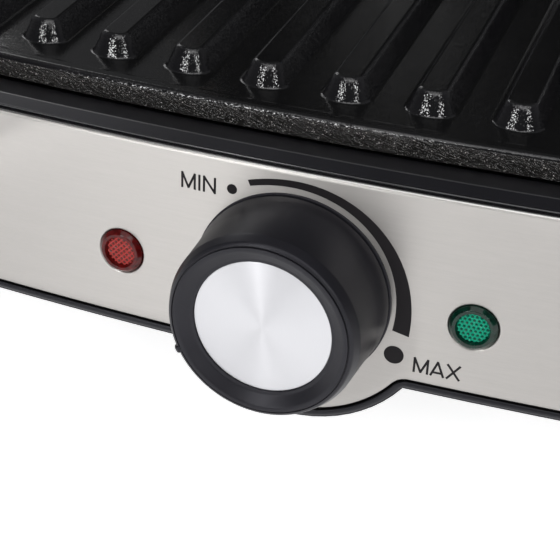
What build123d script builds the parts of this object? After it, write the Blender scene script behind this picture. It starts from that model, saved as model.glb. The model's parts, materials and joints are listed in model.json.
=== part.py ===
"""A floating-lid contact grill (panini press), standing open with its lid against its stop.

Millimetres, +X right, +Y back, +Z up. The feet stand on Z = 0. Heights and depths below are
the base's own: Y = 0 is the middle of the base, and put() moves every piece so that the origin
ends under the middle of the open press. The lid and its arms are drawn closed and then opened.
"""
import os
from math import degrees, radians, tan

from build123d import *

os.makedirs("parts", exist_ok=True)

# Base
BASE_HALF = 155.0  # half width at the height of the knob
BASE_FRONT = -150.0  # front face at the knob's axis
BASE_BACK = 145.0
BASE_CORNER = 24.0
BOW_R = 1092.0  # the front bows out on this radius
LEAN = 5.3  # the walls lean in as they rise, degrees
FLOOR_Z = 12.0  # underside of the base
LIP_Z = 31.5  # just above the lower edge of the lip under the front panel
SHELL_TOP = 77.4
WALL = 2.5
CHIN_R = 32.5  # the lip drops round the knob

# Front panel, knob and lamps
KNOB_Z = 50.0
PANEL_T = 1.0
PANEL_HALF = 134.0
PANEL_BOTTOM = 33.4
PANEL_BUMP_R = 30.1
PANEL_CORNER = 4.5
KNOB_R = 21.0
KNOB_H = 19.7
KNOB_GAP = 1.0  # from the panel to the knob's skirt
POINTER_AT = 116.5  # off, the pointer is this far anticlockwise from the top, degrees
DISC_R = 15.1
DISC_H = 17.6
RING_R = 22.4
SHAFT_R = 3.0
RUNNING = 0.05  # radial clearance of every turning fit
BUSH_R = 4.8
LENS_X = 40.4
LENS_Z = 49.5
LENS_R = 5.5
LENS_RISE = 1.0  # the lenses stand out of the panel

# Bezel round the lower plate: insets from the base's plan, and heights
BEZEL_OUT, BEZEL_OUT_Z = 3.4, 78.2
BEZEL_IN, BEZEL_IN_Z = 7.4, 79.1
WELL_IN, WELL_RIM_Z, WELL_Z = 17.5, 75.6, 66.0
WELL_SIDE = 8.5  # at the sides the well comes this much nearer the edge
REAR_DECK = 10.0  # the bezel is this much wider behind the plate

# Grill plates
PLATE_HALF = 145.0
PLATE_FRONT = BASE_FRONT + 19.8
PLATE_BACK = 107.5
PLATE_BOW_R = 974.0
PLATE_CORNER = 15.0
PLATE_UNDER = 75.0
PLATE_RIM_Z = 80.7
PLATE_FLOOR_Z = 80.2
RIM_W = 3.7
RIB_TOP_Z = 85.3
RIB_PITCH = 19.2
RIB_SIDE = 7  # ribs each side of the middle one
RIB_SHIFT = 0.6  # the middle rib stands this far right of the middle
RIB_FOOT_W, RIB_TOP_W = 9.9, 6.2
RIB_SLOPE = 2.7  # run of each sloping end
RIB_FRONT, RIB_BACK = BASE_FRONT + 29.6, 88.0
RIB_BOW_R = 839.0
CLOSED_GAP = 2.0  # between the rib tops of the two plates
MIRROR_Z = RIB_TOP_Z + CLOSED_GAP / 2

# Lid, drawn closed
LID_HALF = 150.0
LID_FRONT = -151.0
LID_BACK = 112.0
LID_LOW = 90.0
LID_SEAM = 112.0
LID_TOP = 126.0
COVER_T = 1.2

# Arms and hinge
OPEN_ANGLE = 100.0
LID_HANG = 10.0  # open, the lid has swung this far between the arms and hangs upright
HINGE_Y, HINGE_Z = 128.0, 98.0
HANDLE_Y, HANDLE_Z = -192.0, 110.0
PIVOT_Y = -32.0
ARM_IN, ARM_OUT = 158.5, 164.5  # faces of the right arm
ARM_W = 24.0
HEEL = 10.0  # the arm's centre line runs this far past the hinge
HINGE_PIN_R, PIVOT_PIN_R = 5.0, 4.0
HEAD_T = 2.2
TOWER_IN, TOWER_OUT = 147.0, 157.5
TOWER_R = 13.0

# Drip tray
TRAY_HALF, TRAY_FRONT, TRAY_BACK = 55.0, 60.0, 139.0
TRAY_LOW, TRAY_TOP = 14.3, 27.0

ORIGIN_Y = 18.4  # middle of the open press's footprint, from the base's middle


def put(name, shape):
    """Writes one piece, moved to the press's own origin."""
    export_step(Pos(0, -ORIGIN_Y, 0) * shape, f"parts/{name}.step")


def put_on_arms(name, shape):
    """Writes a piece of the arms, drawn closed, as it stands open."""
    put(name, shape.rotate(Axis((0, HINGE_Y, HINGE_Z), (1, 0, 0)), -OPEN_ANGLE))


def put_on_lid(name, shape):
    """Writes a piece of the lid, drawn closed, as it hangs between the open arms."""
    put_on_arms(name, shape.rotate(Axis((0, PIVOT_Y, pivot_z()), (1, 0, 0)), LID_HANG))


def pivot_z():
    """Height of the lid's pivot on the straight arm, closed."""
    return HINGE_Z + (HANDLE_Z - HINGE_Z) * (PIVOT_Y - HINGE_Y) / (HANDLE_Y - HINGE_Y)


def plan(inset, z, half=BASE_HALF, front=BASE_FRONT, back=BASE_BACK, bow=BOW_R, corner=BASE_CORNER):
    """Plan outline at a height: bowed front, straight sides and back, rounded corners."""
    half, front, back = half - inset, front + inset, back - inset
    ends = front + half**2 / (2 * bow)
    outline = make_face([
        ThreePointArc((-half, ends), (0, front), (half, ends)).edge(),
        Line((half, ends), (half, back)).edge(),
        Line((half, back), (-half, back)).edge(),
        Line((-half, back), (-half, ends)).edge(),
    ])
    return Pos(0, 0, z) * fillet(outline.vertices(), max(corner - inset, 3.0))


def slab(outline_of, inset, low, high):
    """Straight-sided solid between two heights on a plan outline."""
    return extrude(outline_of(inset, low), high - low)


def between(outline_of, low, high):
    """Ruled solid from (inset, height) to (inset, height)."""
    return loft([outline_of(*low), outline_of(*high)], ruled=True)


def lean_in(z):
    """How far the leaning wall has come in at a height."""
    return (z - KNOB_Z) * tan(radians(LEAN))


def leaning(inset, top=SHELL_TOP):
    """The base's leaning walls down to the floor, grown inwards by inset."""
    return between(plan, (lean_in(FLOOR_Z) + inset, FLOOR_Z), (lean_in(top) + inset, top))


def well_plan(grow, z):
    """Outline of the well round the plate, or the same grown outwards."""
    return plan(WELL_IN - grow, z, half=BASE_HALF + WELL_SIDE, back=BASE_BACK - REAR_DECK)


def under_plan(inset, z):
    """Outline of the base's underside."""
    return plan(inset, z, half=140, front=-114, back=136, corner=16)


def base_form(inset, floor, top):
    """The base's outer form, or the same form grown inwards by inset."""
    belly = loft([under_plan(inset, floor), plan(lean_in(LIP_Z) + inset - 1, LIP_Z)], ruled=True)
    chin = Pos(0, BASE_FRONT + 10, KNOB_Z) * Rot(90, 0, 0) * Cylinder(CHIN_R - inset, 60)
    above = block(-200, 200, -200, 200, LIP_Z - 0.2, top + 1)
    return leaning(inset, top) & (above + belly + chin)


def panel_frame(x=0.0, z=KNOB_Z):
    """A frame on the front panel: local Z out of the panel, local Y up it."""
    spot = Pos(x, BASE_FRONT + x**2 / (2 * BOW_R) + lean_in(z), z)
    return spot * Rot(0, 0, degrees(x / BOW_R)) * Rot(90 - LEAN, 0, 0)


def lathe(*points):
    """Solid turned about local Z from (radius, height) points."""
    return revolve(make_face(Plane.XZ * Polyline(*points, close=True)), Axis.Z)


def both_sides(shape):
    """The piece and its mirror image across the middle of the press."""
    return Compound([shape.solid(), mirror(shape, about=Plane.YZ).solid()])


def group(shapes):
    """Separate identical solids kept as one piece."""
    return Compound([shape.solid() for shape in shapes])


def x_rod(radius, start, end, y, z):
    """Round bar along X."""
    return Pos((start + end) / 2, y, z) * Rot(0, 90, 0) * Cylinder(radius, end - start)


def z_rod(radius, low, high, x=0.0, y=0.0):
    """Round bar along Z."""
    return Pos(x, y, (low + high) / 2) * Cylinder(radius, high - low)


def block(x0, x1, y0, y1, z0, z1):
    """Box between two corners."""
    return Pos((x0 + x1) / 2, (y0 + y1) / 2, (z0 + z1) / 2) * Box(x1 - x0, y1 - y0, z1 - z0)


# ---- Base: front panel, shell, bezel, underside --------------------------------------------

def panel_window(top=SHELL_TOP):
    """The steel panel's outline, front to back: a strip with a round drop under the knob."""
    strip = Pos(0, (top + PANEL_BOTTOM) / 2) * Rectangle(2 * PANEL_HALF, top - PANEL_BOTTOM)
    drop = Pos(0, KNOB_Z) * Circle(PANEL_BUMP_R)
    drop &= Pos(0, KNOB_Z - PANEL_BUMP_R / 2) * Rectangle(3 * PANEL_BUMP_R, PANEL_BUMP_R)
    outline = strip + drop
    inner = [v for v in outline.vertices() if abs(v.X) < PANEL_BUMP_R and abs(v.Y - PANEL_BOTTOM) < 0.1]
    return Pos(0, BASE_FRONT, 0) * extrude(Plane.XZ * fillet(inner, PANEL_CORNER), 30, both=True)


def lamp_holes(radius):
    hole = Cylinder(radius, 30)
    return panel_frame(LENS_X, LENS_Z) * hole + panel_frame(-LENS_X, LENS_Z) * hole


def make_base():
    bush_hole = panel_frame() * Cylinder(BUSH_R + 0.1, 30)
    panel = leaning(0) & panel_window()
    put("front_panel", panel - leaning(PANEL_T, SHELL_TOP + 1) - bush_hole - lamp_holes(LENS_R + 0.1))

    shell = base_form(0, FLOOR_Z, SHELL_TOP) - base_form(WALL, FLOOR_Z - 0.01, SHELL_TOP + 0.01)
    shell -= panel_window(SHELL_TOP + 1) - leaning(PANEL_T + 0.3, SHELL_TOP + 2)
    shell -= bush_hole + lamp_holes(LENS_R + 0.1)
    shell -= block(-TRAY_HALF - 3, TRAY_HALF + 3, 120, 160, FLOOR_Z - 1, TRAY_TOP + 3)
    shell -= Pos(-105, BASE_BACK, 44) * Rot(90, 0, 0) * Cylinder(6.1, 20)
    put("base_shell", shell)

    cover = slab(under_plan, WALL + 0.3, FLOOR_Z, FLOOR_Z + 2)
    for side in (-1, 1):
        x = side * (TRAY_HALF + 3.2)
        cover += block(x - 1, x + 1, TRAY_FRONT, 130, FLOOR_Z + 2, 22)
    slots = GridLocations(14, 40, 9, 2)
    vents = Pos(0, -20, FLOOR_Z + 1) * extrude(Sketch() + slots * SlotOverall(26, 4, rotation=90), 4, both=True)
    put("bottom_cover", cover - vents)

    foot = lathe((0, 0), (8, 0), (9, 1), (9.5, 12), (0, 12))
    spots = [(x, y) for x in (-122, 122) for y in (-96, 118)]
    put("rubber_feet", group(Pos(x, y, 0) * foot for x, y in spots))

    crest = plan(BEZEL_IN, BEZEL_IN_Z + 0.001, back=BASE_BACK - REAR_DECK)
    slope = loft([well_plan(0, WELL_RIM_Z), crest], ruled=True)
    bezel = between(plan, (BEZEL_OUT, BEZEL_OUT_Z), (BEZEL_IN, BEZEL_IN_Z))
    bezel += slab(plan, BEZEL_OUT, SHELL_TOP + 0.05, BEZEL_OUT_Z)
    bezel += slab(plan, 5.6, WELL_Z, SHELL_TOP + 0.05)
    bezel -= slope + slab(well_plan, 0, WELL_Z - 1, WELL_RIM_Z)
    bezel -= slab(plan, 7.6, WELL_Z - 1, WELL_RIM_Z - 2.4) - slab(well_plan, 2, WELL_Z - 1, WELL_RIM_Z)
    put("top_bezel", bezel)

    tower = block(TOWER_IN, TOWER_OUT, HINGE_Y - TOWER_R, HINGE_Y + TOWER_R, 52, HINGE_Z)
    tower += x_rod(TOWER_R, TOWER_IN, TOWER_OUT, HINGE_Y, HINGE_Z)
    tower -= leaning(-0.02, SHELL_TOP + 0.05) + slab(plan, BEZEL_OUT - 0.02, 70, BEZEL_IN_Z + 0.02)
    tower -= x_rod(HINGE_PIN_R, TOWER_IN - 1, TOWER_OUT + 1, HINGE_Y, HINGE_Z)
    put("right_hinge_tower", tower)
    put("left_hinge_tower", mirror(tower, about=Plane.YZ))
    pin = x_rod(HINGE_PIN_R, TOWER_IN, ARM_OUT + 0.3, HINGE_Y, HINGE_Z)
    pin += x_rod(8, ARM_OUT + 0.3, ARM_OUT + 0.3 + HEAD_T, HINGE_Y, HINGE_Z)
    put("hinge_pins", both_sides(pin))
    washer = x_rod(9, TOWER_OUT, ARM_IN - 0.2, HINGE_Y, HINGE_Z)
    washer -= x_rod(HINGE_PIN_R, TOWER_OUT - 1, ARM_IN, HINGE_Y, HINGE_Z)
    put("hinge_washers", both_sides(washer))
    peg = x_rod(3, TOWER_OUT, ARM_OUT - 1, HINGE_Y + STOP_PEG[0], HINGE_Z + STOP_PEG[1])
    put("hinge_stop_pegs", both_sides(peg))


def stop_peg_offset():
    """Where a peg of radius 3 just clears the arm's heel when the lid is fully open."""
    along = Vector(0, -1, 0).rotate(Axis.X, -OPEN_ANGLE)
    ahead = Vector(0, 0, 1).rotate(Axis.X, -OPEN_ANGLE + 180)
    spot = along * -18 + ahead * (ARM_W / 2 + 3.2)
    return spot.Y, spot.Z


STOP_PEG = stop_peg_offset()


# ---- Knob, thermostat and lamps ------------------------------------------------------------

def make_knob():
    here = panel_frame()
    put("knob_ring", here * lathe((8, 0), (RING_R, 0), (RING_R - 0.2, 0.5), (8, 0.5)))
    body = lathe(
        (SHAFT_R, 3.4), (7, 3.4), (7, 13.5), (17.8, 13.5), (19.6, KNOB_GAP), (KNOB_R + 1.1, KNOB_GAP),
        (KNOB_R + 0.5, 7.5), (KNOB_R, 17.2), (KNOB_R - 0.6, 18.9), (19.25, KNOB_H),
        (17.4, 19.3), (DISC_R + 0.4, 18.1), (DISC_R, DISC_H), (DISC_R, DISC_H - 0.9), (SHAFT_R, DISC_H - 0.9),
    )
    pointer = Rot(0, 0, POINTER_AT) * Pos(0, KNOB_R - 1.9, KNOB_H - 1.6) * Box(2.2, 4.2, 3.0)
    body += pointer - lathe((0, 0), (KNOB_R - 2.5, 0), (KNOB_R - 2.5, 40), (0, 40))
    put("knob", here * body)
    put("knob_disc", here * lathe((0, DISC_H - 0.9), (DISC_R, DISC_H - 0.9), (DISC_R, DISC_H), (0, DISC_H)))
    shaft = Pos(0, 0, -5) * Cylinder(SHAFT_R, 36)
    shaft += Pos(0, 0, -22) * Cylinder(6, 2)
    put("knob_shaft", here * shaft)
    case = Pos(0, -1, -17) * Box(30, 20, 16)
    bore = Pos(0, 0, -10) * Cylinder(SHAFT_R + RUNNING, 40)
    case -= Pos(0, 0, -22) * Cylinder(6.4, 3)
    case += Pos(0, 0, -3) * Cylinder(BUSH_R, 12)
    put("thermostat", here * (case - bore))
    nut = extrude(RegularPolygon(7, 6), 2.3) - Cylinder(BUSH_R, 10)
    put("bush_nut", here * Pos(0, 0, 0.5) * nut)


def make_lamps():
    lens = lathe((0, -8), (LENS_R - 1.2, -8), (LENS_R - 1.2, -3), (LENS_R, -3), (LENS_R, 0),
                 (LENS_R - 0.6, LENS_RISE), (0, LENS_RISE))
    lens -= lathe((0, -9), (3.2, -9), (3.2, -2), (0, -2))
    holder = lathe((0, -24), (6, -24), (6, -4), (LENS_R - 1.15, -4), (LENS_R - 1.15, -20), (0, -20))
    neon = lathe((0, -19), (2.2, -19), (2.2, -6), (0, -3.8))
    for name, side in (("red", -1), ("green", 1)):
        here = panel_frame(side * LENS_X, LENS_Z)
        put(f"{name}_lens", here * lens)
        put(f"{name}_lamp_holder", here * holder)
        put(f"{name}_neon_lamp", here * neon)


# ---- Plates and heating --------------------------------------------------------------------

def plate_plan(inset, z):
    return plan(inset, z, PLATE_HALF, PLATE_FRONT, PLATE_BACK, PLATE_BOW_R, PLATE_CORNER)


def rib(x):
    """One rib, with drafted flanks and sloping ends; its front follows the bow."""
    front = RIB_FRONT + x**2 / (2 * RIB_BOW_R)
    length, middle = RIB_BACK - front, (RIB_BACK + front) / 2
    foot = Pos(x, middle, PLATE_FLOOR_Z) * Rectangle(RIB_FOOT_W, length)
    top = Pos(x, middle, RIB_TOP_Z) * Rectangle(RIB_TOP_W, length - 2 * RIB_SLOPE)
    return loft([foot, top], ruled=True)


def grill_plate():
    """Die-cast plate: rim, floor a little below it, ribs front to back, drain at the back."""
    plate = between(plate_plan, (0.6, PLATE_UNDER), (0, PLATE_RIM_Z))
    plate -= slab(plate_plan, RIM_W, PLATE_FLOOR_Z, PLATE_RIM_Z + 1)
    plate -= slab(plate_plan, 5, PLATE_UNDER - 1, 77)
    for i in range(-RIB_SIDE, RIB_SIDE + 1):
        plate += rib(RIB_SHIFT + i * RIB_PITCH)
    return plate


def heater(z):
    """Tubular element bent round under a plate, open at the back."""
    points = [(-22, 88, z), (-108, 88, z), (-108, -96, z), (108, -96, z), (108, 88, z), (22, 88, z)]
    path = FilletPolyline(*points, radius=26)
    start = Plane(origin=points[0], z_dir=(-1, 0, 0))
    return sweep(start * Circle(3.2), path=path)


POSTS = [(x, y) for x in (-90, 90) for y in (-60, 60)]


def make_plates():
    drain = z_rod(5, 60, 90, 0, 94)
    put("lower_plate", grill_plate() - drain)
    put_on_lid("upper_plate", mirror(grill_plate(), about=Plane.XY.offset(MIRROR_Z)))
    element_z = PLATE_UNDER - 0.1 - 3.2 + 2.0
    element = heater(element_z)
    put("lower_heater", element)
    put_on_lid("upper_heater", mirror(element, about=Plane.XY.offset(MIRROR_Z)))

    straps = group(block(x - 12, x + 12, y - 5, y + 5, element_z - 4.2, element_z - 3.3)
                   for x, y in ((-108, 0), (108, 0), (0, -96)))
    put("lower_heater_straps", straps)
    put_on_lid("upper_heater_straps", mirror(straps, about=Plane.XY.offset(MIRROR_Z)))

    shield = slab(plan, 19, 58, 65.9) - slab(plan, 19.9, 58.9, 70)
    for x, y in POSTS:
        shield -= z_rod(4.2, 50, 70, x, y)
    shield -= z_rod(7.2, 50, 70, 0, 94)
    put("lower_reflector", shield)
    posts = group(z_rod(4, FLOOR_Z + 2, 77, x, y) for x, y in POSTS)
    put("plate_posts", posts)
    funnel = z_rod(7, 30, PLATE_UNDER + 2, 0, 94) - z_rod(5, 20, 80, 0, 94)
    put("drain_tube", funnel)


# ---- Drip tray, terminals and inlet --------------------------------------------------------

def make_services():
    tray = block(-TRAY_HALF, TRAY_HALF, TRAY_FRONT, TRAY_BACK, TRAY_LOW, TRAY_TOP)
    tray -= block(-TRAY_HALF + 2, TRAY_HALF - 2, TRAY_FRONT + 2, TRAY_BACK - 2, TRAY_LOW + 2, TRAY_TOP + 1)
    face = block(-TRAY_HALF - 2, TRAY_HALF + 2, TRAY_BACK, 150, TRAY_LOW, TRAY_TOP + 1.5)
    face = fillet(face.edges().filter_by(Axis.X), 2)
    tray += face - block(-30, 30, 143, 148, TRAY_LOW - 1, TRAY_TOP - 3)
    put("drip_tray", tray)
    put("terminal_block", block(-125, -75, 100, 118, FLOOR_Z + 2, 32))
    wires = []
    for i, end_x in enumerate((-9, 0, 9)):
        lift = 36 + 4 * i
        points = [(-115 + 8 * i, 106, 32), (-115 + 8 * i, 106, lift), (-115 + 8 * i, -80, lift),
                  (end_x, -80, lift), (end_x, -122, lift)]
        path = FilletPolyline(*points, radius=3.9)
        start = Plane(origin=points[0], z_dir=(0, 0, 1))
        wires.append(sweep(start * Circle(1.2), path=path))
    put("base_wiring", group(wires))
    sleeve = Pos(-105, BASE_BACK - 3, 44) * Rot(-90, 0, 0)
    gland = lathe((3.6, -8), (6, -8), (6, 4.6), (9.5, 4.6), (8.5, 8), (3.6, 8))
    put("inlet_gland", sleeve * gland)
    screw = lathe((0, 10), (3.4, 10), (3.4, 12), (0, 12))
    spots = [(x, y) for x in (-100, 100) for y in (-92, 100)] + [(-40, -98), (40, -98)]
    put("bottom_screws", group(Pos(x, y, 0) * screw for x, y in spots))


# ---- Lid -----------------------------------------------------------------------------------

def lid_plan(inset, z):
    return plan(inset, z, LID_HALF, LID_FRONT, LID_BACK, BOW_R, BASE_CORNER)


def make_lid():
    z = pivot_z()
    pin_hole = x_rod(PIVOT_PIN_R, -200, 200, PIVOT_Y, z)
    frame = between(lid_plan, (0, LID_LOW), (1.2, LID_SEAM))
    frame -= slab(lid_plan, WALL + 1.2, LID_LOW + 3, LID_SEAM + 1)
    frame -= slab(plate_plan, -1.0, LID_LOW - 1, LID_SEAM)
    put_on_lid("lid_frame", frame - pin_hole)

    def dome(grow):
        low = between(lid_plan, (1.2 + grow, LID_SEAM), (2.4 + grow, LID_TOP - 5 - grow))
        shoulder = between(lid_plan, (2.4 + grow, LID_TOP - 5 - grow), (8 + grow, LID_TOP - 1 - grow))
        crown = between(lid_plan, (8 + grow, LID_TOP - 1 - grow), (26 + grow, LID_TOP - grow))
        return low + shoulder + crown

    put_on_lid("lid_cover", dome(0) - dome(COVER_T))
    shield = slab(lid_plan, 8, 107, 108)
    posts = [z_rod(4, 95.6, 110.5, x, y) for x, y in POSTS]
    for x, y in POSTS:
        shield -= z_rod(4.1, 100, 112, x, y)
    notch = block(132, 200, PIVOT_Y - 14, PIVOT_Y + 14, 100, 112)
    put_on_lid("upper_reflector", shield - notch - mirror(notch, about=Plane.YZ))
    put_on_lid("lid_posts", group(posts))
    fuse = Pos(40, 0, 98.9) * Rot(0, 90, 0) * Cylinder(3, 24)
    put_on_lid("thermal_fuse", fuse)

    bracket = block(134, 145.5, PIVOT_Y - 12, PIVOT_Y + 12, 98, 111)
    put_on_lid("pivot_brackets", both_sides(bracket - pin_hole))
    pin = x_rod(PIVOT_PIN_R, 134, ARM_OUT + 0.3, PIVOT_Y, z)
    pin += x_rod(7, ARM_OUT + 0.3, ARM_OUT + 0.3 + HEAD_T, PIVOT_Y, z)
    put_on_lid("pivot_pins", both_sides(pin))
    spacer = x_rod(8, LID_HALF, ARM_IN - 0.3, PIVOT_Y, z) - pin_hole
    put_on_lid("pivot_spacers", both_sides(spacer))


def make_arms():
    run = Vector(0, HANDLE_Y - HINGE_Y, HANDLE_Z - HINGE_Z)
    along = run.normalized()
    tail = Vector(0, HINGE_Y, HINGE_Z) - along * HEEL
    nose = Vector(0, HANDLE_Y, HANDLE_Z)
    middle = (tail + nose) / 2
    face = Plane(origin=(ARM_IN, middle.Y, middle.Z), x_dir=along, z_dir=(1, 0, 0))
    arm = extrude(face * SlotCenterToCenter((nose - tail).length, ARM_W), ARM_OUT - ARM_IN)
    arm = fillet(arm.edges().group_by(Axis.X)[-1], 1.5)
    arm -= x_rod(HINGE_PIN_R + RUNNING, 150, 170, HINGE_Y, HINGE_Z)
    arm -= x_rod(PIVOT_PIN_R + RUNNING, 150, 170, PIVOT_Y, pivot_z())
    arm -= x_rod(3, 150, 170, HANDLE_Y, HANDLE_Z)
    put_on_arms("right_arm", arm)
    put_on_arms("left_arm", mirror(arm, about=Plane.YZ))

    section = Plane(origin=(-ARM_IN, HANDLE_Y, HANDLE_Z), x_dir=(0, 1, 0), z_dir=(1, 0, 0))
    grip = extrude(section * Ellipse(15.5, 12.5), 2 * ARM_IN)
    put_on_arms("handle_grip", grip - x_rod(6, -200, 200, HANDLE_Y, HANDLE_Z))
    core = x_rod(6, -ARM_IN, ARM_IN, HANDLE_Y, HANDLE_Z)
    bolt_hole = x_rod(3, ARM_IN - 20, ARM_IN + 1, HANDLE_Y, HANDLE_Z)
    core -= bolt_hole + mirror(bolt_hole, about=Plane.YZ)
    put_on_arms("handle_core", core)
    bolt = x_rod(3, ARM_IN - 20, ARM_OUT, HANDLE_Y, HANDLE_Z)
    bolt += x_rod(5.5, ARM_OUT, ARM_OUT + HEAD_T, HANDLE_Y, HANDLE_Z)
    put_on_arms("handle_bolts", both_sides(bolt))


make_base()
make_knob()
make_lamps()
make_plates()
make_services()
make_lid()
make_arms()
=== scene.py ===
"""Looks of the panini press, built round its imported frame.

The helpers take millimetres in the base's own axes: x = 0 in the middle, y = 0 near the middle
of the base, z = 0 on the table, with the lid closed. TO_FRAME brings them to the frame, and
ARMS_OPEN and LID_OPEN also swing the arms and the lid open.
"""

import json
from math import asin, cos, pi, radians, sin, sqrt, tan, tau

import bmesh
import bpy
from mathutils import Matrix, Vector


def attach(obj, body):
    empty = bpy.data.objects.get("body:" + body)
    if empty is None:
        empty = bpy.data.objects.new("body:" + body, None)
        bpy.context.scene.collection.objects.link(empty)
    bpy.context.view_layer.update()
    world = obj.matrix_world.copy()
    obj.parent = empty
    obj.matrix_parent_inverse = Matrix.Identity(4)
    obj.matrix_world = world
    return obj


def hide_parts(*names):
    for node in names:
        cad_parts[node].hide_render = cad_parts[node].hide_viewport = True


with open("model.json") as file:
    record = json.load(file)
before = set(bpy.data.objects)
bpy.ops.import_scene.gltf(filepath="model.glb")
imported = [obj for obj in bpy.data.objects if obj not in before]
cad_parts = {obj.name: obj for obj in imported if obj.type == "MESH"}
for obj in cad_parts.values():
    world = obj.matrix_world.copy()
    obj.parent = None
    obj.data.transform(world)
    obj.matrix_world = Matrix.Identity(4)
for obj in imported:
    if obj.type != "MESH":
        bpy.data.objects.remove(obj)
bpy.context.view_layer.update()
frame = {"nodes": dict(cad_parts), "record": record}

MM = 0.001

# Dimensions shared with the CAD model. A plan has a half width, its front and back edge, the
# radius on which its front bows out, and the radius of its corners.
ORIGIN_Y = 18.4  # middle of the open press's footprint
BASE = dict(half=155.0, front=-150.0, back=145.0, bow=1092.0, corner=24.0)
LEAN = radians(5.3)  # the walls lean in as they rise
KNOB_Z = 50.0
SHELL_TOP = 77.4
PANEL_HALF, PANEL_BOTTOM = 134.0, 33.4
DROP_R, DROP_FILLET = 30.1, 4.5  # round drop of the steel under the knob
BEZEL_IN, REAR_DECK = 7.4, 10.0
WELL_Z = 66.0  # bottom of the well between the bezel and the plate
KNOB_R, KNOB_H, DISC_R, DISC_H, RING_R = 21.0, 19.7, 15.1, 17.6, 22.4
POINTER_AT = radians(116.5)  # anticlockwise from the top
BUSH_HOLE_R = 4.9
LENS_Z, LENS_RISE = 49.5, 1.0
PLATE = dict(half=145.0, front=-130.2, back=107.5, bow=974.0, corner=15.0)
PLATE_UNDER, PLATE_FLOOR, PLATE_RIM = 75.0, 80.2, 80.7
RIB_TOP, RIB_PITCH, RIB_SIDE, RIB_SHIFT = 85.3, 19.2, 7, 0.6
RIB_FRONT, RIB_BACK, RIB_BOW = -120.4, 88.0, 839.0
DRAIN_R, DRAIN_Y = 5, 94
MIRROR_Z = 86.3  # the two plates mirror each other about this height
LID = dict(half=150.0, front=-151.0, back=112.0, bow=1092.0, corner=24.0)
LID_LOW, LID_SEAM = 90.0, 112.0
HINGE = (128.0, 98.0)  # y and z, like the next two
HANDLE = (-192.0, 110.0)
PIVOT = (-32.0, 104.0)
OPEN_ANGLE, LID_HANG = radians(100), radians(10)
ARM_IN = 158.5

# Dimensions that differ a little from the CAD model's
PANEL_T = 0.9
WELL_IN, WELL_RIM_Z, WELL_SIDE = 20.5, 74.56, 11.0
RED_X, GREEN_X, LENS_R = -40.85, 40.0, 5.2
LIP_Z = 31.3
GRIP_Y, GRIP_Z = 15.2, 12.3  # half sizes of the handle's oval section


# ---- Places --------------------------------------------------------------------------------

def about_x(y, z, angle):
    """A turn about the line along X through (y, z), in millimetres."""
    there = Matrix.Translation((0, y, z))
    return there @ Matrix.Rotation(angle, 4, "X") @ there.inverted()


TO_FRAME = Matrix.Scale(MM, 4) @ Matrix.Translation((0, -ORIGIN_Y, 0))
ARMS_OPEN = TO_FRAME @ about_x(*HINGE, -OPEN_ANGLE)
LID_OPEN = ARMS_OPEN @ about_x(*PIVOT, LID_HANG)


def lean_in(z):
    """How far the leaning wall has come in at a height."""
    return (z - KNOB_Z) * tan(LEAN)


def panel_frame(x=0.0, z=KNOB_Z):
    """Object matrix on the front panel: local Z out of it, local Y up it, in metres."""
    spot = Vector((x, BASE["front"] + x**2 / (2 * BASE["bow"]) + lean_in(z), z))
    turn = Matrix.Rotation(x / BASE["bow"], 4, "Z") @ Matrix.Rotation(pi / 2 - LEAN, 4, "X")
    return Matrix.Translation(TO_FRAME @ spot) @ turn


# ---- Outlines ------------------------------------------------------------------------------

def spread(low, high, steps):
    """Evenly spaced values, both ends included."""
    return [low + (high - low) * i / steps for i in range(steps + 1)]


def around(steps):
    """Angles evenly round a circle."""
    return spread(0, tau, steps)[:-1]


def arc(cx, cy, radius, start, end, steps):
    """Points on an arc, angles in radians."""
    return [(cx + radius * cos(a), cy + radius * sin(a)) for a in spread(start, end, steps)]


def bow_radius(half, bow):
    """Radius of the arc across a half width that rises as much as a parabola of the bow would."""
    rise = half**2 / (2 * bow)
    return (half**2 + rise**2) / (2 * rise)


def outline(inset, half, front, back, bow, corner, front_steps=96, side_steps=12):
    """Plan outline of the bowed form, anticlockwise, always with the same number of points."""
    half, front, back = half - inset, front + inset, back - inset
    radius = bow_radius(half, bow)
    corner = max(corner - inset, 3.0)
    middle_y = front + radius
    corner_x = half - corner
    corner_y = middle_y - sqrt((radius - corner) ** 2 - corner_x**2)
    sweep = asin(corner_x / (radius - corner))
    points = arc(0, middle_y, radius, -pi / 2 - sweep, -pi / 2 + sweep, front_steps)
    points += arc(corner_x, corner_y, corner, -pi / 2 + sweep, 0, 10)[1:]
    points += [(half, y) for y in spread(corner_y, back - corner, side_steps)[1:]]
    points += arc(corner_x, back - corner, corner, 0, pi / 2, 10)[1:]
    points += [(x, back) for x in spread(corner_x, -corner_x, front_steps)[1:]]
    points += arc(-corner_x, back - corner, corner, pi / 2, pi, 10)[1:]
    points += [(-half, y) for y in spread(back - corner, corner_y, side_steps)[1:]]
    points += arc(-corner_x, corner_y, corner, pi, 1.5 * pi - sweep, 10)[1:-1]
    return points


def level(inset, z, spec, **change):
    """The outline at a height, as 3-D points."""
    return [(x, y, z) for x, y in outline(inset, **{**spec, **change})]


# ---- Meshes --------------------------------------------------------------------------------

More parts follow.
